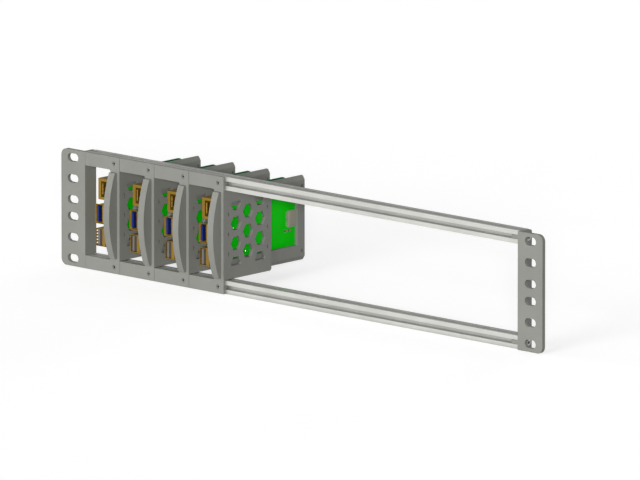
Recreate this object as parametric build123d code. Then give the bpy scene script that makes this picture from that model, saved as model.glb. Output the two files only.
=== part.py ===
from build123d import *
import math
import os

os.makedirs("parts", exist_ok=True)

# Rack mount for four upright single-board computers, two rack units high.
# Every shape below is drawn in panel coordinates, in millimetres: X from the
# left ear's outer edge, Y backwards from the front face, Z up from the bottom
# edge. place() moves it to the part's own frame, whose origin is the centre of
# the rack slots on the ears' back face.

# ---- panel, ears and rails ----
PANEL_W = 482.6            # over both ears
PANEL_H = 88.1             # two rack units less the usual gap
EAR_W = 24.3               # ear plate, outer edge to flange face
EAR_T = 3.0
EAR_R = 5.0                # outer corners
FLANGE_T = 3.0
RAIL = 10.0                # square T-slot section
RAIL_Y = 2.0               # front face of the rails, behind the faceplates
FRAME_BACK = RAIL_Y + RAIL
RACK_SLOT_L = 10.8
RACK_SLOT_H = 6.2
RACK_SLOT_X = 11.9         # slot centre from the outer edge
RACK_SLOT_Z = (6.35, 22.225, 38.1)   # from mid-height, both ways

# rail section
SLOT_OPEN = 3.4
LIP_T = 1.1
CAVITY_HALF = 2.8
CAVITY_SIDE = 0.4          # straight part behind the lip
SLOT_DEPTH = 3.0
RAIL_BORE = 2.95

KEY_H = 3.0                # keys that sit in the rail slots
KEY_D = 2.7
EAR_KEY_L = 7.7

# ---- modules ----
BAYS = 4
PITCH = 35.2
GAP = 0.15                 # each side of a module
FACE_T = 2.0
BAR_H = 10.0
SIDE_T = 2.7               # hexagon-vented side plate
SIDE_BACK = 51.8
SIDE_Z0, SIDE_Z1 = 10.3, 77.8
GUIDE_X = 25.7             # left end of the guide flanges
GUIDE_Z0, GUIDE_Z1 = 11.6, 76.5
GUSSET_X, GUSSET_Z = 1.85, 3.1
SCREW_X = 29.6             # faceplate holes
SCREW_R = 1.65
HEX_AF = 10.0
HEX_STEP_Z = 15.0
HEX_STEP_Y = 13.0
HEX_Y0 = 13.67
VENT_Y = (5.0, 48.2)
VENT_Z = (20.05, 68.05)
MID_Z = PANEL_H / 2

# ---- tray with handle ----
SX = PITCH - SIDE_T - GAP  # inner face of the side plate, module x
TRAY_T = 2.9
TRAY_X1 = SX - 0.05        # face next to the side plate
TRAY_X0 = TRAY_X1 - TRAY_T
TRAY_BACK = 90.9
TRAY_Z0, TRAY_Z1 = 12.2, 76.0
TRAY_CH_X, TRAY_CH_Z = 2.0, 3.2
WIN_Y = (8.0, 83.3)
WIN_Z = (24.15, 64.15)
FIN_T = 5.9
FIN_Z0, FIN_Z1 = 11.7, 76.4
FIN_MID_Y, FIN_END_Y = -8.3, -2.1
FIN_BACK = 3.4
FIN_FULL = 1.9             # square-cornered as far back as this, through the faceplate
BOSS_R = 2.8

# ---- boards ----
BOARD_X1 = PITCH - 10.0    # face that rests on the bosses
BOARD_T = 1.5
BOARD_X0 = BOARD_X1 - BOARD_T
BOARD_Y = (6.5, 91.5)
BOARD_Z = (16.05, 72.05)
HOLE_Y = (30.0, 88.0)
HOLE_Z = (19.55, 68.55)
STACK = 11.0               # between the two boards
ADDON_X1 = BOARD_X0 - STACK
ADDON_X0 = ADDON_X1 - 1.5
ADDON_Y = (26.5, 91.5)


def place(shape):
    return shape.moved(Location((-PANEL_W / 2, -EAR_T, -PANEL_H / 2)))


def bx(x0, x1, y0, y1, z0, z1):
    return Pos((x0 + x1) / 2, (y0 + y1) / 2, (z0 + z1) / 2) * Box(x1 - x0, y1 - y0, z1 - z0)


def prism_y(points, y0, y1):
    """Polygon of (x, z) points, extruded along Y."""
    plane = Plane(origin=(0, y0, 0), x_dir=(1, 0, 0), z_dir=(0, -1, 0))
    face = plane * make_face(Polyline(*[(x, z) for x, z in points], close=True))
    return extrude(face, amount=y1 - y0, dir=(0, 1, 0))


def prism_x(points, x0, x1):
    """Polygon of (y, z) points, extruded along X."""
    plane = Plane(origin=(x0, 0, 0), x_dir=(0, 1, 0), z_dir=(1, 0, 0))
    face = plane * make_face(Polyline(*[(y, z) for y, z in points], close=True))
    return extrude(face, amount=x1 - x0, dir=(1, 0, 0))


def rod_x(y, z, r, x0, x1):
    return Pos((x0 + x1) / 2, y, z) * Rot(0, 90, 0) * Cylinder(r, x1 - x0)


def rod_y(x, z, r, y0, y1):
    return Pos(x, (y0 + y1) / 2, z) * Rot(90, 0, 0) * Cylinder(r, y1 - y0)


def rod_z(x, y, r, z0, z1):
    return Pos(x, y, (z0 + z1) / 2) * Cylinder(r, z1 - z0)


def hex_x(y, z, af, x0, x1):
    """Hexagonal prism along X, with corners towards +Y and -Y."""
    r = af / math.sqrt(3)
    pts = [(y + r * math.cos(math.radians(60 * k)), z + r * math.sin(math.radians(60 * k))) for k in range(6)]
    return prism_x(pts, x0, x1)


def hex_y(x, z, af, y0, y1):
    r = af / math.sqrt(3)
    pts = [(x + r * math.cos(math.radians(60 * k)), z + r * math.sin(math.radians(60 * k))) for k in range(6)]
    return prism_y(pts, y0, y1)


def group(solids):
    return Compound(children=list(solids))


def one(shape):
    s = shape.solids()
    assert len(s) == 1, len(s)
    return s[0]


# ---------------------------------------------------------------- ears
RAIL_Z = (RAIL / 2, PANEL_H - RAIL / 2)
RAIL_MID_Y = RAIL_Y + RAIL / 2


def left_ear():
    plate = bx(0, EAR_W, 0, EAR_T, 0, PANEL_H)
    outer = plate.edges().filter_by(Axis.Y).sort_by(Axis.X)[:2]
    plate = fillet(outer, EAR_R)
    flange = bx(EAR_W - FLANGE_T, EAR_W, EAR_T - 0.5, FRAME_BACK, 0, PANEL_H)
    back = flange.edges().filter_by(Axis.X).sort_by(Axis.Y)[-2:]
    flange = fillet(back, 1.0)
    ear = plate + flange
    # inside bend between plate and flange
    bend = bx(EAR_W - FLANGE_T - 1.0, EAR_W - FLANGE_T, EAR_T, EAR_T + 1.0, 0, PANEL_H) \
        - rod_z(EAR_W - FLANGE_T - 1.0, EAR_T + 1.0, 1.0, 0, PANEL_H)
    ear = ear + bend
    # keys that stop the rails turning in the ear
    for z in RAIL_Z:
        ear = ear + bx(EAR_W - 0.5, EAR_W + EAR_KEY_L, RAIL_Y, RAIL_Y + KEY_D, z - KEY_H / 2, z + KEY_H / 2)
    # slots for the cabinet's screws
    for dz in RACK_SLOT_Z:
        for s in (-1, 1):
            c = (RACK_SLOT_X, MID_Z + s * dz)
            cut = Pos(c[0], EAR_T / 2, c[1]) * Rot(90, 0, 0) * extrude(
                SlotOverall(RACK_SLOT_L, RACK_SLOT_H), amount=EAR_T, both=True)
            ear = ear - cut
    # holes for the rail end screws
    for z in RAIL_Z:
        ear = ear - rod_x(RAIL_MID_Y, z, 1.65, EAR_W - FLANGE_T - 1, EAR_W + 1)
    return one(ear)


# ---------------------------------------------------------------- rails
def rail(zc):
    section = Rectangle(RAIL, RAIL)
    h = RAIL / 2
    pts = [(-SLOT_OPEN / 2, h + 1), (-SLOT_OPEN / 2, h - LIP_T), (-CAVITY_HALF, h - LIP_T),
           (-CAVITY_HALF, h - LIP_T - CAVITY_SIDE)]
    run = SLOT_DEPTH - LIP_T - CAVITY_SIDE
    pts += [(-CAVITY_HALF + run, h - SLOT_DEPTH), (CAVITY_HALF - run, h - SLOT_DEPTH),
            (CAVITY_HALF, h - LIP_T - CAVITY_SIDE), (CAVITY_HALF, h - LIP_T),
            (SLOT_OPEN / 2, h - LIP_T), (SLOT_OPEN / 2, h + 1)]
    slot = make_face(Polyline(*pts, close=True))
    for k in range(4):
        section = section - Rot(0, 0, 90 * k) * slot
    section = section - Circle(RAIL_BORE / 2)
    plane = Plane(origin=(EAR_W, RAIL_MID_Y, zc), x_dir=(0, 1, 0), z_dir=(1, 0, 0))
    return one(extrude(plane * section, amount=PANEL_W - 2 * EAR_W, dir=(1, 0, 0)))


# ---------------------------------------------------------------- bay frame
def bay_frame(x0):
    a, b = x0 + GAP, x0 + PITCH - GAP
    sx = x0 + SX
    face = bx(a, b, 0, FACE_T, 0, PANEL_H)
    t, u = PANEL_H - BAR_H, BAR_H
    step = 1.1
    pts = [(a - 1, t), (x0 + GUIDE_X - step, t)]
    for k in range(1, 6):      # small inside curve where the guide's end hangs down
        ang = math.radians(90 - 18 * k)
        pts.append((x0 + GUIDE_X - step + step * math.cos(ang), t - step + step * math.sin(ang)))
    pts += [(x0 + GUIDE_X, GUIDE_Z1), (sx, GUIDE_Z1), (sx, GUIDE_Z0), (x0 + GUIDE_X, GUIDE_Z0)]
    for k in range(1, 6):
        ang = math.radians(18 * k)
        pts.append((x0 + GUIDE_X - step + step * math.cos(ang), u + step - step * math.sin(ang)))
    pts.append((a - 1, u))
    face = face - prism_y(pts, -1, FACE_T + 1)
    # side plate with its field of hexagonal vents, cut off square at the field's border
    side = bx(sx, b, FACE_T - 0.5, SIDE_BACK, SIDE_Z0, SIDE_Z1)
    rear = side.edges().filter_by(Axis.X).sort_by(Axis.Y)[-2:]
    side = fillet(rear, 2.0)
    vents = []
    for i in range(-1, 4):
        y = HEX_Y0 + HEX_STEP_Y * i
        z_first = MID_Z - 7.5 if i % 2 == 0 else MID_Z
        for k in range(-3, 4):
            z = z_first + HEX_STEP_Z * k
            if VENT_Z[0] - 5 < z < VENT_Z[1] + 5 and VENT_Y[0] - 6 < y < VENT_Y[1] + 6:
                vents.append(hex_x(y, z, HEX_AF, sx - 1, b + 1))
    field = bx(sx - 1, b + 1, VENT_Y[0], VENT_Y[1], VENT_Z[0], VENT_Z[1])
    side = side - [v & field for v in vents]
    frame = face + side
    # guide flanges, corner gussets and the lips that keep the tray against the plate
    for s in (1, -1):
        def zz(z):
            return z if s > 0 else PANEL_H - z
        lo, hi = sorted((zz(GUIDE_Z1), zz(SIDE_Z1)))
        frame = frame + bx(x0 + GUIDE_X, sx + 0.5, FACE_T - 0.5, SIDE_BACK - 2, lo, hi)
        tri = [(sx - GUSSET_X, zz(GUIDE_Z1 + 0.3)), (sx - GUSSET_X, zz(GUIDE_Z1)), (sx, zz(GUIDE_Z1 - GUSSET_Z)),
               (sx + 0.5, zz(GUIDE_Z1 - GUSSET_Z)), (sx + 0.5, zz(GUIDE_Z1 + 0.3))]
        frame = frame + prism_y(tri, FACE_T + 0.1 if s > 0 else FACE_T + 1.6, SIDE_BACK - 2)
        lo, hi = sorted((zz(GUIDE_Z1 + 0.3), zz(GUIDE_Z1 - 1.4)))
        frame = frame + bx(x0 + TRAY_X0 - 1.4, x0 + TRAY_X0 - 0.1, 4.0, SIDE_BACK - 2, lo, hi)
    # keys in the rails' front slots, left open around the slot nuts
    for z in RAIL_Z:
        for k0, k1 in ((9.5, SCREW_X - 3.2), (SCREW_X + 3.2, PITCH - GAP)):
            frame = frame + bx(x0 + k0, x0 + k1, FACE_T - 0.3, RAIL_Y + KEY_D, z - KEY_H / 2, z + KEY_H / 2)
        frame = frame - rod_y(x0 + SCREW_X, z, SCREW_R, -1, FACE_T + 1)
    return one(frame)


# ---------------------------------------------------------------- tray with handle fin
def bay_tray(x0):
    x1 = x0 + TRAY_X1
    xa = x0 + TRAY_X0
    plate = bx(xa, x1, 2.0, TRAY_BACK, TRAY_Z0, TRAY_Z1)
    for s in (1, -1):
        def zz(z):
            return z if s > 0 else PANEL_H + 0.1 - z
        tri = [(x1 - TRAY_CH_X, zz(TRAY_Z1)), (x1 + 0.5, zz(TRAY_Z1 + 0.0)), (x1 + 0.5, zz(TRAY_Z1 - TRAY_CH_Z)),
               (x1, zz(TRAY_Z1 - TRAY_CH_Z))]
        if s > 0:
            tri = [(x1 - TRAY_CH_X, TRAY_Z1), (x1 - TRAY_CH_X, TRAY_Z1 + 1), (x1 + 1, TRAY_Z1 + 1),
                   (x1 + 1, TRAY_Z1 - TRAY_CH_Z), (x1, TRAY_Z1 - TRAY_CH_Z)]
        else:
            tri = [(x1 - TRAY_CH_X, TRAY_Z0), (x1 - TRAY_CH_X, TRAY_Z0 - 1), (x1 + 1, TRAY_Z0 - 1),
                   (x1 + 1, TRAY_Z0 + TRAY_CH_Z), (x1, TRAY_Z0 + TRAY_CH_Z)]
        plate = plate - prism_y(tri, 1.0, TRAY_BACK + 1)
    rear = plate.edges().filter_by(Axis.X).sort_by(Axis.Y)[-2:]
    plate = fillet(rear, 0.8)
    window = bx(xa - 1, x1 + 1, WIN_Y[0], WIN_Y[1], WIN_Z[0], WIN_Z[1])
    window = fillet(window.edges().filter_by(Axis.X), 1.0)
    plate = plate - window
    # handle fin: a solid bow standing forward through the faceplate's window
    front = ThreePointArc((FIN_END_Y, FIN_Z0), (FIN_MID_Y, MID_Z), (FIN_END_Y, FIN_Z1))
    back = Polyline((FIN_END_Y, FIN_Z1), (FIN_BACK, FIN_Z1), (FIN_BACK, FIN_Z0), (FIN_END_Y, FIN_Z0))
    plane = Plane(origin=(x1 - FIN_T, 0, 0), x_dir=(0, 1, 0), z_dir=(1, 0, 0))
    fin = extrude(plane * make_face([front, back]), amount=FIN_T, dir=(1, 0, 0))
    cut = [(x1 - GUSSET_X, FIN_Z1), (x1 - GUSSET_X, FIN_Z1 + 1), (x1 + 1, FIN_Z1 + 1),
           (x1 + 1, FIN_Z1 - GUSSET_Z), (x1, FIN_Z1 - GUSSET_Z)]
    fin = fin - prism_y(cut, FIN_FULL, FIN_BACK + 1)
    tray = plate + fin
    # web that carries the fin's load into the plate
    tray = tray + bx(xa - 1.2, xa + 0.3, FIN_BACK - 0.3, 7.2, 24.5, 63.5)
    for y in HOLE_Y:
        for z in HOLE_Z:
            tray = tray + rod_x(y, z, BOSS_R, x0 + BOARD_X1, xa + 0.3)
    for y in HOLE_Y:
        for z in HOLE_Z:
            tray = tray - rod_x(y, z, 1.25, x0 + BOARD_X1 - 1, x1 + 1)
    return one(tray)


# ---------------------------------------------------------------- boards
def board(x0, xa, xb, ys, zs):
    b = bx(x0 + xa, x0 + xb, ys[0], ys[1], zs[0], zs[1])
    b = fillet(b.edges().filter_by(Axis.X), 3.0)
    for y in HOLE_Y:
        for z in HOLE_Z:
            b = b - rod_x(y, z, 1.35, x0 + xa - 1, x0 + xb + 1)
    return one(b)


HEAD_Y, HEAD_Z = 59.0, 68.55
HEAD_L, HEAD_W = 50.8, 5.0


def pin_header(x0):
    x1 = x0 + BOARD_X0
    h = bx(x1 - 2.5, x1, HEAD_Y - HEAD_L / 2, HEAD_Y + HEAD_L / 2, HEAD_Z - HEAD_W / 2, HEAD_Z + HEAD_W / 2)
    pins = []
    for i in range(20):
        y = HEAD_Y + 2.54 * (i - 9.5)
        for s in (-1, 1):
            z = HEAD_Z + s * 1.27
            pins.append(bx(x1 - 8.5, x1 - 2.4, y - 0.32, y + 0.32, z - 0.32, z + 0.32))
    return one(h + pins)


def addon_socket(x0):
    xa = x0 + ADDON_X1
    xb = xa + STACK - 2.5
    s = bx(xa, xb, HEAD_Y - HEAD_L / 2, HEAD_Y + HEAD_L / 2, HEAD_Z - HEAD_W / 2, HEAD_Z + HEAD_W / 2)
    for k in (-1, 1):
        z = HEAD_Z + k * 1.27
        s = s - bx(xb - 6.4, xb + 1, HEAD_Y - 24.8, HEAD_Y + 24.8, z - 0.45, z + 0.45)
    return one(s)


# ---------------------------------------------------------------- connectors
CON_Y = 3.5
JACK_Z, BLUE_Z, GREY_Z = 61.3, 42.25, 24.6
CARD_Z = MID_Z - 0.4


def network_jack(x0):
    x1 = x0 + BOARD_X0
    j = bx(x1 - 13.5, x1, CON_Y, CON_Y + 21.3, JACK_Z - 8.0, JACK_Z + 8.0)
    j = j - bx(x1 - 10.7, x1 - 1.9, CON_Y - 1, CON_Y + 13.5, JACK_Z - 6.0, JACK_Z + 6.0)
    # latch recess in the wall next to the board, and the contact step on the other side
    j = j - bx(x1 - 2.0, x1 - 0.9, CON_Y + 1.5, CON_Y + 11.0, JACK_Z - 3.75, JACK_Z + 3.75)
    j = j + bx(x1 - 10.8, x1 - 8.2, CON_Y + 8.0, CON_Y + 13.6, JACK_Z - 5.4, JACK_Z + 5.4)
    return one(j)


PORT_L = 17.5
PORT_H = 15.9
PORT_W = 13.1
PORT_WALL = 0.4
MOUTHS = ((0.5, 6.8), (9.8, PORT_H - PORT_WALL))     # heights above the board
WIDE_FLARE, SLIGHT_FLARE = 0.9, 0.2


def port_shell(x0, zc, f):
    x1 = x0 + BOARD_X0
    w = PORT_W / 2
    s = bx(x1 - PORT_H, x1, CON_Y + 0.6, CON_Y + PORT_L, zc - w, zc + w)
    # flared lip: the four walls spread outwards at the mouth
    p0 = Plane(origin=(0, CON_Y, 0), x_dir=(1, 0, 0), z_dir=(0, -1, 0))
    p1 = Plane(origin=(0, CON_Y + 1.6, 0), x_dir=(1, 0, 0), z_dir=(0, -1, 0))
    xm = x1 - PORT_H / 2
    big = p0 * Pos(xm, zc) * RectangleRounded(PORT_H + 2 * f, PORT_W + 2 * f, 1.2)
    small = p1 * Pos(xm, zc) * RectangleRounded(PORT_H, PORT_W, 0.45)
    s = s + loft([big, small])
    for lo, hi in MOUTHS:
        s = s - bx(x1 - hi, x1 - lo, CON_Y - 1, CON_Y + 11.5, zc - w + 0.45, zc + w - 0.45)
    s = s - bx(x1 - PORT_H + PORT_WALL, x1 - 0.5, CON_Y + 11.4, CON_Y + PORT_L - 0.4, zc - w + 0.45, zc + w - 0.45)
    # the flare opens the mouth's outer edges too
    e0 = p0 * Pos(xm, zc) * RectangleRounded(PORT_H + 2 * f - 0.8, PORT_W + 2 * f - 0.8, 0.3 + 0.6 * f)
    e1 = p1 * Pos(xm, zc) * RectangleRounded(PORT_H - 1.0, PORT_W - 0.9, 0.3)
    rim = loft([e0, e1])
    keep = bx(x1 - MOUTHS[1][0], x1 - MOUTHS[0][1], CON_Y + 0.3, CON_Y + 2, zc - w, zc + w)
    s = s - (rim - keep)
    if f < 0.5:
        # the plainer shell's outer wall is cut into spring fingers
        for k in range(5):
            z = zc + 2.3 * (k - 2)
            s = s - bx(x1 - PORT_H - 1, x1 - PORT_H + PORT_WALL + 0.05, CON_Y + 0.5, CON_Y + 6.0, z - 0.55, z + 0.55)
    return one(s)


def port_insert(x0, zc, lift):
    """Moulded core and the two tongues, whose upper faces stand clear of the mouths' walls by lift."""
    x1 = x0 + BOARD_X0
    w = PORT_W / 2 - 0.5
    s = bx(x1 - PORT_H + 0.55, x1 - 0.55, CON_Y + 11.6, CON_Y + PORT_L - 0.5, zc - w, zc + w)
    for lo, hi in MOUTHS:
        s = s + bx(x1 - hi + lift, x1 - hi + lift + 1.9, CON_Y + 0.15, CON_Y + 12.0, zc - w + 0.25, zc + w - 0.25)
        # shelf that closes the mouth's back
        s = s + bx(x1 - hi + 0.05, x1 - lo - 0.05, CON_Y + 10.2, CON_Y + 12.0, zc - w, zc + w)
    return one(s)


def card_slot(x0):
    xa = x0 + BOARD_X1
    c = bx(xa, xa + 1.4, 79.3, 91.4, CARD_Z - 6.2, CARD_Z + 6.2)
    c = c - bx(xa + 0.25, xa + 1.15, 80.2, 92, CARD_Z - 5.6, CARD_Z + 5.6)
    return one(c)


def power_socket(x0):
    x1 = x0 + BOARD_X0
    yc, z0 = 80.3, 14.85
    s = bx(x1 - 3.2, x1, yc - 4.5, yc + 4.5, z0, z0 + 7.3)
    s = fillet(s.edges().filter_by(Axis.Z), 1.3)
    cut = bx(x1 - 2.85, x1 - 0.35, yc - 4.15, yc + 4.15, z0 - 1, z0 + 6.2)
    cut = fillet(cut.edges().filter_by(Axis.Z), 1.1)
    s = s - cut
    s = s + bx(x1 - 1.95, x1 - 1.25, yc - 3.3, yc + 3.3, z0 + 0.9, z0 + 6.5)
    return one(s)


def video_socket(x0, yc):
    x1 = x0 + BOARD_X0
    z0 = 15.25

    def outline(g):
        return [(x1 - g, yc - 3.25 + g), (x1 - g, yc + 3.25 - g), (x1 - 1.9, yc + 3.25 - g),
                (x1 - 3.0 + g, yc + 2.4 - g), (x1 - 3.0 + g, yc - 2.4 + g), (x1 - 1.9, yc - 3.25 + g)]
    def up(pts, a, b):
        return extrude(Plane(origin=(0, 0, a)) * make_face(Polyline(*pts, close=True)), amount=b - a, dir=(0, 0, 1))
    s = up(outline(0), z0, z0 + 7.5)
    s = s - up(outline(0.35), z0 - 1, z0 + 6.4)
    s = s + bx(x1 - 1.75, x1 - 1.15, yc - 2.0, yc + 2.0, z0 + 0.8, z0 + 6.6)
    return one(s)


def audio_jack(x0):
    x1 = x0 + BOARD_X0
    yc = 37.5
    s = bx(x1 - 6.0, x1, yc - 3.5, yc + 3.5, 16.1, 28.6)
    s = s + rod_z(x1 - 3.0, yc, 3.0, 13.6, 17.0)
    s = s - rod_z(x1 - 3.0, yc, 1.75, 13.0, 27.0)
    return one(s)


# ---------------------------------------------------------------- fasteners
def spacer(x0, y, z):
    xa, xb = x0 + ADDON_X1, x0 + BOARD_X0
    s = hex_x(y, z, 4.5, xa, xb)
    s = s - rod_x(y, z, 1.25, xa - 1, xa + 6.0)
    s = s + rod_x(y, z, 1.2, xb - 0.5, x0 + PITCH - 3.9)
    return one(s)


def board_screw(x0, y, z):
    xa = x0 + ADDON_X0
    head = rod_x(y, z, 2.25, xa - 1.7, xa)
    head = fillet(head.edges().filter_by(GeomType.CIRCLE).sort_by(Axis.X)[:1], 0.8)
    s = head + rod_x(y, z, 1.2, xa - 0.2, x0 + ADDON_X1 + 5.0)
    for dy, dz in ((1.2, 0.3), (0.3, 1.2)):
        s = s - bx(xa - 2, xa - 0.9, y - dy, y + dy, z - dz, z + dz)
    return one(s)


def end_screw(side, z):
    """Button-head screw through an ear's flange into the rail's bore."""
    xf = EAR_W - FLANGE_T
    head = rod_x(RAIL_MID_Y, z, 2.85, xf - 1.65, xf)
    head = fillet(head.edges().filter_by(GeomType.CIRCLE).sort_by(Axis.X)[:1], 1.0)
    s = head + rod_x(RAIL_MID_Y, z, 1.45, xf - 0.2, xf + 12.0)
    s = s - hex_x(RAIL_MID_Y, z, 2.0, xf - 2, xf - 0.6)
    if side > 0:
        s = s.mirror(Plane(origin=(PANEL_W / 2, 0, 0), z_dir=(1, 0, 0)))
    return one(s)


def set_screw(x0, z):
    x = x0 + SCREW_X
    s = rod_y(x, z, 1.45, 0.3, RAIL_Y + SLOT_DEPTH - 0.1)
    s = s - hex_y(x, z, 1.5, -1, 1.7)
    return one(s)


def slot_nut(x0, z):
    x = x0 + SCREW_X
    f = RAIL_Y + LIP_T + 0.05
    g = RAIL_Y + LIP_T + CAVITY_SIDE
    b = RAIL_Y + SLOT_DEPTH - 0.15
    w = CAVITY_HALF - 0.2
    n = b - g
    pts = [(f, z - w), (f, z + w), (g, z + w), (b, z + w - n - 0.05), (b, z - w + n + 0.05), (g, z - w)]
    s = prism_x(pts, x - 2.75, x + 2.75)
    return one(s - rod_y(x, z, 1.475, f - 1, b + 1))


# ---------------------------------------------------------------- build
def main():
    nodes = {}
    ear = left_ear()
    nodes["left_ear"] = ear
    nodes["right_ear"] = one(ear.mirror(Plane(origin=(PANEL_W / 2, 0, 0), z_dir=(1, 0, 0))))
    nodes["bottom_rail"] = rail(RAIL_Z[0])
    nodes["top_rail"] = rail(RAIL_Z[1])
    origins = [EAR_W + PITCH * i for i in range(BAYS)]
    nodes["rail_end_screws"] = group([end_screw(s, z) for s in (-1, 1) for z in RAIL_Z])
    nodes["bay_set_screws"] = group([set_screw(x, z) for x in origins for z in RAIL_Z])
    nodes["slot_nuts"] = group([slot_nut(x, z) for x in origins for z in RAIL_Z])
    nodes["board_spacers"] = group([spacer(x, y, z) for x in origins for y in HOLE_Y for z in HOLE_Z])
    nodes["board_screws"] = group([board_screw(x, y, z) for x in origins for y in HOLE_Y for z in HOLE_Z])
    nodes["power_sockets"] = group([power_socket(x) for x in origins])
    nodes["video_sockets"] = group([video_socket(x, y) for x in origins for y in (65.5, 52.0)])
    nodes["audio_jacks"] = group([audio_jack(x) for x in origins])
    for i, x in enumerate(origins, 1):
        p = f"bay{i}_"
        nodes[p + "frame"] = bay_frame(x)
        nodes[p + "tray"] = bay_tray(x)
        nodes[p + "computer_board"] = board(x, BOARD_X0, BOARD_X1, BOARD_Y, BOARD_Z)
        nodes[p + "addon_board"] = board(x, ADDON_X0, ADDON_X1, ADDON_Y, BOARD_Z)
        nodes[p + "pin_header"] = pin_header(x)
        nodes[p + "addon_socket"] = addon_socket(x)
        nodes[p + "network_jack"] = network_jack(x)
        nodes[p + "blue_port_shell"] = port_shell(x, BLUE_Z, WIDE_FLARE)
        nodes[p + "blue_port_insert"] = port_insert(x, BLUE_Z, 0.6)
        nodes[p + "grey_port_shell"] = port_shell(x, GREY_Z, SLIGHT_FLARE)
        nodes[p + "grey_port_insert"] = port_insert(x, GREY_Z, 1.5)
        nodes[p + "card_slot"] = card_slot(x)
    for name, shape in nodes.items():
        export_step(place(shape), f"parts/{name}.step")
    return nodes


main()
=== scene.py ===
import bmesh
import bpy
import math
from mathutils import Matrix, Vector


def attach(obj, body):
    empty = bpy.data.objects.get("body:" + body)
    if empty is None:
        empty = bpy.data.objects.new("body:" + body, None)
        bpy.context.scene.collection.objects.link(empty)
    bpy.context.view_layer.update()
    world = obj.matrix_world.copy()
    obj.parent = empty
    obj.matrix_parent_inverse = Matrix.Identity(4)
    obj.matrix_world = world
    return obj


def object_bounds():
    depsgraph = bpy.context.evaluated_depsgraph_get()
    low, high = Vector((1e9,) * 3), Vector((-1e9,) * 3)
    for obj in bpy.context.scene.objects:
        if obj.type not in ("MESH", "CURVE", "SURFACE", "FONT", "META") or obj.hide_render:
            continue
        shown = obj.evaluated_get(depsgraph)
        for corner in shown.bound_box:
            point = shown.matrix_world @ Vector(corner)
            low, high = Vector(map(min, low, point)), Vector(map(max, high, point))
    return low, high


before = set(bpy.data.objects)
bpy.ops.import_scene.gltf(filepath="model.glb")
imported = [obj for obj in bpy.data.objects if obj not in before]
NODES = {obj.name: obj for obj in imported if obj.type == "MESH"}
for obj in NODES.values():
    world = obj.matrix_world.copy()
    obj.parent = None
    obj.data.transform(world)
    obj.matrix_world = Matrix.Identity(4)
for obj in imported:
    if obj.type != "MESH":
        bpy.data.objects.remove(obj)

LO0, HI0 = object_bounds()

# Panel coordinates, in millimetres: X from the left ear's outer edge, Y backwards
# from the front face, Z up from the bottom edge. The row frame starts at
# (241.3, 3, 44.05) of them.
OX, OY, OZ = 241.3, 3.0, 44.05
PITCH = 35.2
BAY_X = [24.3 + PITCH * i for i in range(4)]
BOARD_X1 = 25.2            # the computer board's two faces, from the bay's left end
BOARD_X0 = 23.7
ADDON_X1 = 12.7            # the add-on board's two faces
ADDON_X0 = 11.2
HOLE_Y = (30.0, 88.0)
HOLE_Z = (19.55, 68.55)
HEAD_Y, HEAD_Z = 59.0, 68.55


def P(x, y, z):
    return Vector(((x - OX) / 1000, (y - OY) / 1000, (z - OZ) / 1000))


# ------------------------------------------------------------------ camera
AZ, EL, DIST, LENS, ROLL = 42.886, 11.508, 14.6112, 1120.0, 0.0
target = Vector((0.020784, -0.003, 0.010312))
a, e = math.radians(AZ), math.radians(EL)
back = Vector((math.sin(a) * math.cos(e), -math.cos(a) * math.cos(e), math.sin(e)))
cam_data = bpy.data.cameras.new("camera")
cam_data.lens = LENS
cam_data.sensor_width = 36.0
cam_data.clip_start, cam_data.clip_end = 0.5, 100.0
cam = bpy.data.objects.new("camera", cam_data)
bpy.context.scene.collection.objects.link(cam)
cam.location = target + back * DIST
cam.rotation_mode = "QUATERNION"
cam.rotation_quaternion = (-back).to_track_quat("-Z", "Y") @ Matrix.Rotation(math.radians(ROLL), 4, "Z").to_quaternion()
bpy.context.scene.camera = cam


# ------------------------------------------------------------------ materials
def srgb(*c):
    return tuple((v / 255 / 12.92) if v / 255 <= 0.04045 else ((v / 255 + 0.055) / 1.055) ** 2.4 for v in c) + (1.0,)


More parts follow.
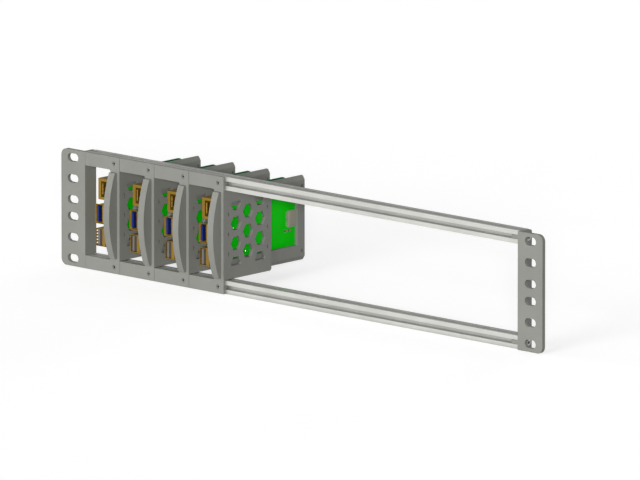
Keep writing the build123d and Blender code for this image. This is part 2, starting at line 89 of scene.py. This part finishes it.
class Mat:
    """A procedural material on object coordinates, which are the row frame in metres."""

    def __init__(self, name, rough=0.5, metallic=0.0, ior=1.45, coat=0.0, coat_rough=0.1, spec=0.5):
        self.m = bpy.data.materials.new(name)
        self.m.use_nodes = True
        self.t = self.m.node_tree
        self.t.nodes.clear()
        self.out = self.t.nodes.new("ShaderNodeOutputMaterial")
        self.b = self.t.nodes.new("ShaderNodeBsdfPrincipled")
        self.t.links.new(self.b.outputs[0], self.out.inputs[0])
        self.b.inputs["Roughness"].default_value = rough
        self.b.inputs["Metallic"].default_value = metallic
        self.b.inputs["IOR"].default_value = ior
        self.b.inputs["Specular IOR Level"].default_value = spec
        self.b.inputs["Coat Weight"].default_value = coat
        self.b.inputs["Coat Roughness"].default_value = coat_rough
        self.co = self.t.nodes.new("ShaderNodeTexCoord").outputs["Object"]

    def node(self, kind, **kw):
        n = self.t.nodes.new(kind)
        for k, v in kw.items():
            setattr(n, k, v)
        return n

    def link(self, a_, b_):
        self.t.links.new(a_, b_)

    def mapped(self, scale=(1, 1, 1), rot=(0, 0, 0)):
        n = self.node("ShaderNodeMapping")
        n.inputs["Scale"].default_value = scale
        n.inputs["Rotation"].default_value = rot
        self.link(self.co, n.inputs["Vector"])
        return n.outputs[0]

    def noise(self, scale, detail=3.0, rough=0.55, vec=None):
        n = self.node("ShaderNodeTexNoise")
        n.inputs["Scale"].default_value = scale
        n.inputs["Detail"].default_value = detail
        n.inputs["Roughness"].default_value = rough
        self.link(vec if vec is not None else self.co, n.inputs["Vector"])
        return n.outputs["Fac"]

    def wave(self, pitch, direction="X", distort=0.4, vec=None):
        n = self.node("ShaderNodeTexWave", wave_type="BANDS", bands_direction=direction)
        n.inputs["Scale"].default_value = 2 * math.pi / (20 * pitch)
        n.inputs["Distortion"].default_value = distort
        n.inputs["Detail"].default_value = 1.0
        self.link(vec if vec is not None else self.co, n.inputs["Vector"])
        return n.outputs["Fac"]

    def ramp(self, fac, lo, hi, a_=0.0, b_=1.0):
        n = self.node("ShaderNodeMapRange")
        n.inputs["From Min"].default_value = lo
        n.inputs["From Max"].default_value = hi
        n.inputs["To Min"].default_value = a_
        n.inputs["To Max"].default_value = b_
        self.link(fac, n.inputs["Value"])
        return n.outputs["Result"]

    def mix(self, fac, ca, cb, blend="MIX"):
        n = self.node("ShaderNodeMix", data_type="RGBA", blend_type=blend)
        if hasattr(fac, "links"):
            self.link(fac, n.inputs[0])
        else:
            n.inputs[0].default_value = fac
        for k, c in ((6, ca), (7, cb)):
            if hasattr(c, "links"):
                self.link(c, n.inputs[k])
            else:
                n.inputs[k].default_value = c
        return n.outputs[2]

    def math(self, op, a_, b_=0.0, c_=0.0):
        n = self.node("ShaderNodeMath", operation=op)
        for k, v in enumerate((a_, b_, c_)):
            if hasattr(v, "links"):
                self.link(v, n.inputs[k])
            else:
                n.inputs[k].default_value = v
        return n.outputs[0]

    def axis(self, k):
        n = self.node("ShaderNodeSeparateXYZ")
        self.link(self.co, n.inputs[0])
        return n.outputs[k]

    def edge(self, radius=0.0004, lo=0.02, hi=0.25):
        """One on sharp outer edges, from the difference of the true and the rounded normal."""
        bev = self.node("ShaderNodeBevel", samples=4)
        bev.inputs["Radius"].default_value = radius
        geo = self.node("ShaderNodeNewGeometry")
        dot = self.node("ShaderNodeVectorMath", operation="DOT_PRODUCT")
        self.link(bev.outputs[0], dot.inputs[0])
        self.link(geo.outputs["Normal"], dot.inputs[1])
        return self.ramp(self.math("SUBTRACT", 1.0, dot.outputs["Value"]), lo, hi)

    def painted_shade(self, distance=0.004, power=1.0):
        """A painted-shade mask from ambient occlusion: one in the open, falling towards nought in gaps and inside
        corners.
        """
        n = self.node("ShaderNodeAmbientOcclusion", samples=6)
        n.inputs["Distance"].default_value = distance
        return self.math("POWER", n.outputs["AO"], power)

    def bump(self, height, distance, strength=0.5, after=None):
        n = self.node("ShaderNodeBump")
        n.inputs["Strength"].default_value = strength
        n.inputs["Distance"].default_value = distance
        self.link(height, n.inputs["Height"])
        if after is not None:
            self.link(after, n.inputs["Normal"])
        return n.outputs[0]

    def set(self, color=None, rough=None, normal=None, metallic=None):
        for sock, v in (("Base Color", color), ("Roughness", rough), ("Normal", normal), ("Metallic", metallic)):
            if v is not None:
                if hasattr(v, "links"):
                    self.link(v, self.b.inputs[sock])
                else:
                    self.b.inputs[sock].default_value = v
        return self.m


def printed(name, base, layer_axis):
    """Filament-printed plastic: fine layer lines, slow tone changes, paler rubbed edges, and painted shade that darkens
    it in gaps and inside corners.
    """
    m = Mat(name, rough=0.55, spec=0.2)
    slow = m.noise(28, 2.0)
    fine = m.noise(900, 3.0)
    layers = m.wave(0.0002, layer_axis, 0.6)
    col = m.mix(m.ramp(slow, 0.3, 0.7), tuple(c * 0.95 for c in base[:3]) + (1,), tuple(min(1, c * 1.05) for c in base[:3]) + (1,))
    col = m.mix(m.ramp(layers, 0.0, 1.0, 0.0, 0.10), col, tuple(c * 0.75 for c in base[:3]) + (1,))
    col = m.mix(m.ramp(fine, 0.55, 0.8, 0.0, 0.08), col, tuple(min(1, c * 1.3) for c in base[:3]) + (1,))
    edge = m.edge(0.00035)
    col = m.mix(m.math("MULTIPLY", edge, 0.22), col, tuple(min(1, c * 1.5) for c in base[:3]) + (1,))
    # painted shade: the colour falls to half its base in gaps and inside corners, from ambient occlusion
    col = m.mix(m.ramp(m.painted_shade(0.002), 0.1, 0.7), tuple(c * 0.5 for c in base[:3]) + (1,), col)
    rough = m.ramp(m.noise(260, 3.0), 0.3, 0.7, 0.48, 0.62)
    n = m.bump(layers, 0.00003, 0.35)
    n = m.bump(fine, 0.00004, 0.3, n)
    return m.set(col, rough, n)


def metal(name, base, rough, stretch=(1, 1, 1), scale=220, wear=0.3, spread=0.08, metallic=1.0, grain=0.00002, shade_reach=0.002):
    m = Mat(name, rough=rough, metallic=metallic)
    vec = m.mapped(stretch)
    brush = m.noise(scale, 4.0, 0.6, vec)
    slow = m.noise(35, 2.0)
    dark = tuple(c * 0.86 for c in base[:3]) + (1,)
    light = tuple(min(1, c * 1.1) for c in base[:3]) + (1,)
    col = m.mix(m.ramp(slow, 0.3, 0.7), dark, base)
    col = m.mix(m.ramp(brush, 0.35, 0.75, 0.0, 0.35), col, light)
    col = m.mix(m.math("MULTIPLY", m.edge(0.0003), wear), col, tuple(min(1, c * 1.35 + 0.05) for c in base[:3]) + (1,))
    # painted shade: the colour falls to 0.3 of its base in gaps, slots and inside corners, from ambient occlusion
    # within shade_reach
    col = m.mix(m.ramp(m.painted_shade(shade_reach), 0.15, 0.75), tuple(c * 0.3 for c in base[:3]) + (1,), col)
    r = m.ramp(brush, 0.3, 0.7, rough - spread, rough + spread)
    return m.set(col, r, m.bump(brush, grain, 0.4))


def plastic(name, base, rough=0.45, grain=1400, bump=0.00002, spec=0.5, coat=0.0):
    m = Mat(name, rough=rough, spec=spec, coat=coat)
    slow, fine = m.noise(60, 2.0), m.noise(grain, 3.0)
    col = m.mix(m.ramp(slow, 0.3, 0.7), tuple(c * 0.88 for c in base[:3]) + (1,), tuple(min(1, c * 1.1) for c in base[:3]) + (1,))
    col = m.mix(m.math("MULTIPLY", m.edge(0.0002), 0.25), col, tuple(min(1, c * 1.6 + 0.01) for c in base[:3]) + (1,))
    return m.set(col, m.ramp(fine, 0.3, 0.7, rough - 0.07, rough + 0.08), m.bump(fine, bump, 0.35))


def circuit(name, base, copper):
    """Solder mask over copper: broad pours and thin tracks that run straight and at right angles."""
    m = Mat(name, rough=0.5, spec=0.12)
    slow = m.noise(50, 2.0)
    tint = m.mix(m.ramp(slow, 0.3, 0.7), tuple(c * 0.92 for c in base[:3]) + (1,), tuple(min(1, c * 1.06) for c in base[:3]) + (1,))
    brick = m.node("ShaderNodeTexBrick")
    brick.offset, brick.squash = 0.35, 0.6
    brick.offset_frequency, brick.squash_frequency = 3, 2
    sw = m.node("ShaderNodeSeparateXYZ")
    m.link(m.co, sw.inputs[0])
    cb = m.node("ShaderNodeCombineXYZ")
    m.link(sw.outputs[1], cb.inputs[0])
    m.link(sw.outputs[2], cb.inputs[1])
    m.link(cb.outputs[0], brick.inputs["Vector"])
    brick.inputs["Scale"].default_value = 130
    brick.inputs["Mortar Size"].default_value = 0.02
    brick.inputs["Mortar Smooth"].default_value = 0.2
    brick.inputs["Brick Width"].default_value = 0.9
    brick.inputs["Row Height"].default_value = 0.22
    tracks = m.ramp(brick.outputs["Fac"], 0.0, 1.0)
    where = m.ramp(m.noise(70, 1.0), 0.46, 0.54)
    tracks = m.math("MULTIPLY", tracks, where)
    col = m.mix(m.math("MULTIPLY", tracks, 0.35), tint, copper)
    fine = m.noise(1500, 2.0)
    rough = m.ramp(fine, 0.3, 0.7, 0.42, 0.56)
    n = m.bump(tracks, 0.00003, 0.4)
    n = m.bump(fine, 0.00001, 0.25, n)
    return m.set(col, rough, n)


GREY = srgb(122, 123, 117)
# each metal's shade_reach sets how far its painted shade reaches into gaps; the shells' is short, so their insides stay
# lighter
M = {
    "frame": printed("printed_frame", GREY, "X"),
    "ear": printed("printed_ear", GREY, "Y"),
    "rail": metal("anodised_rail", srgb(200, 200, 195), 0.4, (1, 60, 60), 40, 0.15, 0.05, 0.7, 0.00001, 0.005),
    "steel": metal("zinc_steel", srgb(168, 168, 166), 0.36),
    "dark_steel": metal("set_screw_steel", srgb(150, 150, 148), 0.42),
    "brass": metal("brass", srgb(190, 150, 70), 0.3),
    "gold": metal("gilt_shell", srgb(140, 110, 34), 0.42, (1, 1, 1), 300, 0.3, 0.08, 0.6, shade_reach=0.0008),
    "socket": metal("bright_steel", srgb(190, 190, 188), 0.28),
    "card": metal("card_steel", srgb(184, 176, 163), 0.42, metallic=0.4, shade_reach=0.002),
    "blue": plastic("blue_insert", srgb(12, 30, 92), 0.5, spec=0.3),
    "grey": plastic("grey_insert", srgb(100, 95, 91), 0.5, spec=0.3),
    "black": plastic("black_plastic", srgb(24, 24, 25), 0.42),
    "chip": plastic("chip_resin", srgb(30, 31, 33), 0.5, 2200, 0.00003),
    "ivory": plastic("ivory_plastic", srgb(214, 208, 190), 0.4),
    "tan": plastic("ceramic_tan", srgb(150, 118, 82), 0.4),
    "solder": metal("solder", srgb(190, 190, 186), 0.25),
    "contact": metal("contact_gold", srgb(224, 180, 84), 0.2),
    "board": circuit("green_board", srgb(0, 196, 2), srgb(20, 216, 28)),
    "addon": circuit("dark_board", srgb(14, 96, 50), srgb(40, 128, 70)),
}


def give(node, mat):
    o = NODES[node]
    o.data.materials.clear()
    o.data.materials.append(mat)


for n, k in {"left_ear": "ear", "right_ear": "ear", "top_rail": "rail", "bottom_rail": "rail", "rail_end_screws": "steel",
             "bay_set_screws": "dark_steel", "slot_nuts": "steel", "board_spacers": "steel", "board_screws": "steel",
             "power_sockets": "socket", "video_sockets": "socket", "audio_jacks": "black"}.items():
    give(n, M[k])
for i in range(1, 5):
    for n, k in {"frame": "frame", "tray": "frame", "computer_board": "board", "addon_board": "addon", "pin_header": "black",
                 "addon_socket": "black", "network_jack": "gold", "blue_port_shell": "gold", "grey_port_shell": "gold",
                 "blue_port_insert": "blue", "grey_port_insert": "grey", "card_slot": "card"}.items():
        give(f"bay{i}_{n}", M[k])


# ------------------------------------------------------------------ fine pieces on the boards
class Shape:
    """Chamfered slabs, rods and tapers in panel millimetres, gathered in one mesh."""

    def __init__(self):
        self.bm = bmesh.new()

    def slab(self, x, y, z, c=0.12):
        span = [(x[0], x[1]), (y[0], y[1]), (z[0], z[1])]
        c = min(c, *(0.4 * (b_ - a_) for a_, b_ in span))
        v = {}
        for k in range(3):
            for s in [(i, j, l) for i in (0, 1) for j in (0, 1) for l in (0, 1)]:
                q = [span[n][s[n]] + (0 if n == k else (c if s[n] == 0 else -c)) for n in range(3)]
                v[k, s] = self.bm.verts.new(P(*q))
        faces = []
        for k in range(3):
            m, n = [q for q in range(3) if q != k]

            def at(sk, sm, sn, kk=k, mm=m, nn=n):
                s = [0, 0, 0]
                s[kk], s[mm], s[nn] = sk, sm, sn
                return tuple(s)
            for sk in (0, 1):
                faces.append([v[k, at(sk, *p)] for p in ((0, 0), (1, 0), (1, 1), (0, 1))])
            # the edges that run along axis k, between the faces of m and n
            for sm in (0, 1):
                for sn in (0, 1):
                    faces.append([v[m, at(0, sm, sn)], v[m, at(1, sm, sn)], v[n, at(1, sm, sn)], v[n, at(0, sm, sn)]])
        for s in [(i, j, l) for i in (0, 1) for j in (0, 1) for l in (0, 1)]:
            faces.append([v[0, s], v[1, s], v[2, s]])
        for f in faces:
            self.bm.faces.new(f)

    def rings(self, axis, centre, profile, seg=14, bore=0.0):
        """A turned form along an axis: profile of (place, radius), closed at both ends or bored right through."""
        others = [q for q in range(3) if q != axis]

        def ring(place, r):
            out = []
            for i in range(seg):
                w = 2 * math.pi * i / seg
                q = [0, 0, 0]
                q[axis] = place
                q[others[0]] = centre[0] + r * math.cos(w)
                q[others[1]] = centre[1] + r * math.sin(w)
                out.append(self.bm.verts.new(P(*q)))
            return out
        rows = [ring(a_, r) for a_, r in profile]
        if bore:
            rows += [ring(profile[-1][0], bore), ring(profile[0][0], bore)]
            rows.append(rows[0])
        for r0, r1 in zip(rows, rows[1:]):
            for i in range(seg):
                j = (i + 1) % seg
                self.bm.faces.new([r0[i], r0[j], r1[j], r1[i]])
        if not bore:
            self.bm.faces.new(rows[0])
            self.bm.faces.new(rows[-1])

    def strip(self, p, q, t, z0, z1):
        """A thin straight strip between two (x, y) points, t thick and from z0 to z1."""
        d = Vector((q[0] - p[0], q[1] - p[1])).normalized()
        nx, ny = -d.y * t / 2, d.x * t / 2
        ring = [(p[0] + nx, p[1] + ny), (p[0] - nx, p[1] - ny), (q[0] - nx, q[1] - ny), (q[0] + nx, q[1] + ny)]
        lo = [self.bm.verts.new(P(x, y, z0)) for x, y in ring]
        hi = [self.bm.verts.new(P(x, y, z1)) for x, y in ring]
        self.bm.faces.new(lo)
        self.bm.faces.new(hi)
        for i in range(4):
            j = (i + 1) % 4
            self.bm.faces.new([lo[i], lo[j], hi[j], hi[i]])

    def done(self, name, mat, slot):
        bmesh.ops.recalc_face_normals(self.bm, faces=self.bm.faces)
        mesh = bpy.data.meshes.new(name)
        self.bm.to_mesh(mesh)
        self.bm.free()
        mesh.materials.append(mat)
        o = bpy.data.objects.new(name, mesh)
        bpy.context.scene.collection.objects.link(o)
        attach(o, "root")
        return o


JACK_Z, BLUE_Z, GREY_Z = 61.3, 42.25, 24.6
CARD_Z = 43.65
HEAD = [(HEAD_Y + 2.54 * (i - 9.5), HEAD_Z + s * 1.27) for i in range(20) for s in (-1, 1)]
# small two-ended parts on the component side: (y, z, lengthwise along Y, kind)
SMALL = [(56.0 + 2.3 * i, 34.6, False, "c") for i in range(6)] + [(56.5 + 2.6 * i, 54.6, True, "c") for i in range(5)] \
    + [(72.2, 38.4 + 2.1 * i, True, "r") for i in range(6)] + [(40.0 + 2.4 * i, 36.0, False, "r") for i in range(5)] \
    + [(41.0 + 3.4 * i, 54.0, True, "c") for i in range(4)] + [(36.2, 46.5 + 2.2 * i, True, "c") for i in range(4)] \
    + [(27.6 + 2.4 * i, 46.4, False, "r") for i in range(4)] + [(36.0 + 2.5 * i, 61.8, False, "c") for i in range(4)] \
    + [(70.4, 24.6 + 1.9 * i, True, "r") for i in range(3)] + [(83.2, 32.6 + 1.9 * i, True, "c") for i in range(4)] \
    + [(76.3 + 2.3 * i, 37.2, False, "c") for i in range(3)] + [(58.8, 24.9 + 2.0 * i, True, "r") for i in range(4)] \
    + [(31.5 + 2.2 * i, 51.9, False, "r") for i in range(3)] + [(66.5 + 2.2 * i, 62.4, False, "c") for i in range(4)]


def two_ended(bodies, ends, lift, face, y, z, along, size=(1.6, 0.8, 0.5)):
    """A chip capacitor or resistor that stands on a face at x = face, on the side that lift points to."""
    l, w, h = size

    def put(dst, a0, a1, hw, hh, c):
        xs = sorted((face - lift * 0.01, face + lift * hh))
        ys, zs = ((y + a0, y + a1), (z - hw, z + hw)) if along else ((y - hw, y + hw), (z + a0, z + a1))
        dst.slab(xs, ys, zs, c)
    put(bodies, -l / 2 + 0.3, l / 2 - 0.3, w / 2 - 0.02, h - 0.02, 0.04)
    for s in (-1, 1):
        a0, a1 = sorted((s * (l / 2 - 0.34), s * (l / 2)))
        put(ends, a0, a1, w / 2, h, 0.07)
        a0, a1 = sorted((s * (l / 2 - 0.2), s * (l / 2 + 0.25)))
        put(ends, a0, a1, w / 2 + 0.08, 0.12, 0.05)


for i, X in enumerate(BAY_X, 1):
    A, B, C = X + BOARD_X0, X + BOARD_X1, X + ADDON_X0
    p = f"bay{i}_"
    # ---- component side of the computer board
    resin, metalwork, solder, tan, ivory, dark = Shape(), Shape(), Shape(), Shape(), Shape(), Shape()

    def comp(dst, y0, y1, z0, z1, h, c=0.12, base=-0.01):
        dst.slab((A - h, A - base), (y0, y1), (z0, z1), c)
    comp(resin, 55.0, 70.0, 37.0, 52.0, 0.9, 0.1)
    comp(metalwork, 56.3, 68.7, 38.3, 50.7, 1.45, 0.35, 0.85)
    comp(resin, 38.5, 52.0, 38.5, 51.5, 0.9, 0.15)
    comp(resin, 26.5, 33.5, 36.5, 43.5, 0.85, 0.12)
    comp(resin, 27.3, 33.3, 55.2, 61.2, 0.85, 0.12)
    comp(resin, 76.0, 81.0, 30.0, 35.0, 0.8, 0.12)
    comp(resin, 64.2, 67.2, 26.0, 28.0, 1.0, 0.1)
    comp(metalwork, 77.0, 88.0, 50.5, 62.5, 1.5, 0.3)
    comp(metalwork, 35.2, 38.4, 57.2, 59.7, 0.8, 0.25)
    comp(metalwork, 72.6, 75.8, 55.4, 57.9, 0.8, 0.25)
    for y0, z0, w in ((70.6, 30.4, 4.2), (83.6, 26.6, 3.4), (84.2, 42.0, 3.0)):
        comp(dark, y0 - w / 2, y0 + w / 2, z0 - w / 2, z0 + w / 2, 0.5 * w, 0.45)
    # ribbon connectors: pale body with a row of feet, and a dark latch bar
    comp(ivory, 87.2, 89.6, 36.5, 57.5 - 9.0, 2.1, 0.15)
    comp(dark, 86.2, 87.25, 36.0, 49.0, 2.5, 0.2)
    comp(ivory, 44.4, 46.8, 17.4, 35.2, 2.1, 0.15)
    comp(dark, 46.75, 47.8, 17.0, 35.6, 2.5, 0.2)
    for k in range(15):
        comp(solder, 43.6, 44.45, 18.3 + 1.15 * k, 18.7 + 1.15 * k, 0.25, 0.05)
    for k in range(10):
        comp(solder, 89.55, 90.4, 37.5 + 1.1 * k, 37.9 + 1.1 * k, 0.25, 0.05)
    for y, z, along, kind in SMALL:
        two_ended(tan if kind == "c" else resin, solder, -1, A, y, z, along)
    # plated rings round the mounting holes, on both faces
    for y in HOLE_Y:
        for z in HOLE_Z:
            solder.rings(0, (y, z), ((A - 0.04, 3.0), (A + 0.01, 3.05)), 28, 1.36)
            solder.rings(0, (y, z), ((B - 0.01, 3.05), (B + 0.04, 3.0)), 28, 1.36)
    # ---- soldered ends on its other face
    def joint(y, z, r=0.72, h=1.0):
        solder.rings(0, (y, z), ((B - 0.01, r), (B + 0.12, r * 0.93), (B + 0.45 * h, r * 0.58), (B + h, r * 0.42), (B + h + 0.06, r * 0.3)), 10)
    for y, z in HEAD:
        joint(y, z)
    for k in range(8):
        joint(11.2 + 2.54 * (k % 2), JACK_Z + 1.14 * (k - 3.5), 0.6, 1.2)
    for s in (-1, 1):
        joint(14.4, JACK_Z + 7.3 * s, 1.0, 1.1)
        joint(18.6, JACK_Z + 5.6 * s, 0.6, 1.0)
    for zc in (BLUE_Z, GREY_Z):
        for k in range(4):
            for y in (17.6, 20.2):
                joint(y, zc + (-3.5, -1.0, 1.0, 3.5)[k], 0.55, 1.1)
        for s in (-1, 1):
            for y in (9.4, 15.1):
                joint(y, zc + 5.9 * s, 0.95, 1.1)
    # feet of the card slot, along its front edge, with a few small parts below
    for k in range(8):
        z = CARD_Z + 1.35 * (k - 3.5)
        solder.slab((B - 0.01, B + 0.22), (77.9, 79.5), (z - 0.36, z + 0.36), 0.06)
    for k in range(4):
        two_ended(tan if k % 2 else resin, solder, 1, B, 76.8 + 1.9 * k, CARD_Z - 8.9, False)
    for y, z in ((35.0, 19.2), (40.0, 19.2), (35.0, 26.0), (40.0, 26.0), (49.6, 18.6), (54.4, 18.6), (63.1, 18.6), (67.9, 18.6),
                 (76.7, 19.0), (83.9, 19.0)):
        joint(y, z, 0.7, 0.9)
    # ---- outer face of the add-on board
    def far(dst, y0, y1, z0, z1, h, c=0.12):
        dst.slab((C - h, C + 0.01), (y0, y1), (z0, z1), c)
    for y, z in HEAD:
        solder.rings(0, (y, z), ((C + 0.01, 0.72), (C - 0.12, 0.67), (C - 0.45, 0.42), (C - 1.0, 0.3), (C - 1.06, 0.2)), 10)
    far(resin, 54.0, 61.0, 40.0, 47.0, 0.9, 0.12)
    far(resin, 40.0, 45.0, 30.0, 36.2, 1.5, 0.15)
    for k in range(4):
        for s in (-1, 1):
            y = 42.5 + s * 2.5
            far(solder, *sorted((y, y + s * 1.1)), 31.0 + 1.27 * k - 0.2, 31.0 + 1.27 * k + 0.2, 0.3, 0.05)
    far(dark, 69.5, 75.7, 30.0, 36.2, 3.0, 0.7)
    far(dark, 69.5, 75.7, 40.0, 46.2, 3.0, 0.7)
    for y, z in ((82.5, 31.5), (82.5, 41.0)):
        dark.slab((C - 0.7, C + 0.01), (y - 3.3, y + 3.3), (z - 3.3, z + 3.3), 0.5)
        metalwork.rings(0, (y, z), ((C - 0.6, 3.0), (C - 1.2, 3.0), (C - 1.3, 2.85), (C - 1.5, 2.85), (C - 1.6, 3.0), (C - 5.2, 3.0), (C - 5.5, 2.75)), 24)
    for k in range(6):
        two_ended(tan, solder, -1, C, 55.0 + 2.2 * k, 50.4, False)
        two_ended(resin, solder, -1, C, 55.0 + 2.2 * k, 36.6, False)
    for k in range(4):
        two_ended(tan, solder, -1, C, 64.4, 40.4 + 2.1 * k, True)
        two_ended(resin, solder, -1, C, 49.6, 30.6 + 2.1 * k, True)
    for y in HOLE_Y:
        for z in HOLE_Z:
            solder.rings(0, (y, z), ((C - 0.04, 3.0), (C + 0.01, 3.05)), 28, 1.36)
    resin.done(p + "chips", M["chip"], "black_plastic")
    metalwork.done(p + "chip_lids", M["socket"], "socket_steel")
    solder.done(p + "solder", M["solder"], "nut_steel")
    tan.done(p + "capacitors", M["tan"], "grey_plastic")
    ivory.done(p + "ribbon_sockets", M["ivory"], "grey_plastic")
    dark.done(p + "coils_and_latches", M["black"], "black_plastic")
    # ---- contacts in the network jack and on the ports' tongues
    wires = Shape()
    for k in range(8):
        z = JACK_Z + 1.02 * (k - 3.5)
        wires.strip((A - 10.45, 4.6), (A - 9.9, 5.1), 0.28, z - 0.2, z + 0.2)
        wires.strip((A - 10.0, 5.0), (A - 7.6, 12.0), 0.3, z - 0.2, z + 0.2)
        wires.strip((A - 7.7, 11.8), (A - 8.3, 12.3), 0.28, z - 0.2, z + 0.2)
    for zc, lift in ((BLUE_Z, 0.6), (GREY_Z, 1.5)):
        for hi in (6.8, 15.5):
            face = A - hi + lift + 1.9
            for dz in (-3.5, -1.0, 1.0, 3.5):
                wires.slab((face - 0.05, face + 0.05), (3.5 + 3.2, 3.5 + 9.8), (zc + dz - 0.5, zc + dz + 0.5), 0.03)
    wires.done(p + "contacts", M["contact"], "jack_gold")


# ------------------------------------------------------------------ floor, light
def floor_material():
    m = Mat("floor_paint", rough=0.9, spec=0.05)
    n = m.noise(3, 2.0)
    col = m.mix(m.ramp(n, 0.3, 0.7), (0.45, 0.45, 0.45, 1), (0.47, 0.47, 0.47, 1))
    m.b.inputs["Emission Color"].default_value = (1, 1, 1, 1)
    m.b.inputs["Emission Strength"].default_value = 0.64   # a table lit from below as well
    return m.set(col)


bm = bmesh.new()
bmesh.ops.create_grid(bm, x_segments=1, y_segments=1, size=40.0)
me = bpy.data.meshes.new("floor")
bm.to_mesh(me)
bm.free()
floor = bpy.data.objects.new("floor", me)
floor.location = (0, 0, LO0.z - 0.0002)
me.materials.append(floor_material())
bpy.context.scene.collection.objects.link(floor)
floor.visible_diffuse = False     # the pale floor shows and is mirrored, but doesn't flood the undersides with light

# a studio of soft light: two lamps before the object, and two dimmer ones behind it and on its left
SKY_BASE, SKY_KEY, SKY_TOP, SKY_BACK = 0.11, 0.3, 0.12, 0.2
world = bpy.data.worlds.new("studio")
world.use_nodes = True
wt = world.node_tree
bg = wt.nodes["Background"]
bg.inputs[0].default_value = (1.0, 1.0, 1.0, 1.0)
direction = wt.nodes.new("ShaderNodeTexCoord").outputs["Generated"]


def lobe(towards, low, amount):
    dot = wt.nodes.new("ShaderNodeVectorMath")
    dot.operation = "DOT_PRODUCT"
    dot.inputs[1].default_value = Vector(towards).normalized()
    wt.links.new(direction, dot.inputs[0])
    ramp = wt.nodes.new("ShaderNodeMapRange")
    ramp.interpolation_type = "SMOOTHSTEP"
    for k, v in (("From Min", low), ("From Max", 1.0), ("To Min", 0.0), ("To Max", amount)):
        ramp.inputs[k].default_value = v
    wt.links.new(dot.outputs["Value"], ramp.inputs["Value"])
    return ramp.outputs["Result"]


def added(a_, b_):
    n = wt.nodes.new("ShaderNodeMath")
    n.operation = "ADD"
    for k, v in enumerate((a_, b_)):
        if hasattr(v, "links"):
            wt.links.new(v, n.inputs[k])
        else:
            n.inputs[k].default_value = v
    return n.outputs[0]


sky = added(SKY_BASE, lobe((-0.5, -0.85, 0.35), -0.1, SKY_KEY))
sky = added(sky, lobe((0, 0, 1), -0.1, SKY_TOP))
sky = added(sky, lobe((0.05, 1, 0.22), 0.1, SKY_BACK))
wt.links.new(sky, bg.inputs["Strength"])
bpy.context.scene.world = world


def sun(name, towards, strength, angle):
    d = bpy.data.lights.new(name, "SUN")
    d.energy = strength
    d.angle = math.radians(angle)
    o = bpy.data.objects.new(name, d)
    o.rotation_mode = "QUATERNION"
    o.rotation_quaternion = Vector(towards).to_track_quat("-Z", "Y")
    bpy.context.scene.collection.objects.link(o)


sun("key", (-0.12, 0.95, -0.3), 2.2, 30)
sun("fill", -back, 2.15, 7)
sun("rim", (0.25, -0.96, -0.08), 1.3, 25)
sun("side", (0.97, 0.22, -0.1), 1.0, 25)

bpy.context.scene.view_settings.view_transform = "Standard"
bpy.context.scene.view_settings.look = "None"
bpy.context.scene.view_settings.exposure = 0.0
bpy.context.scene.view_settings.gamma = 1.0
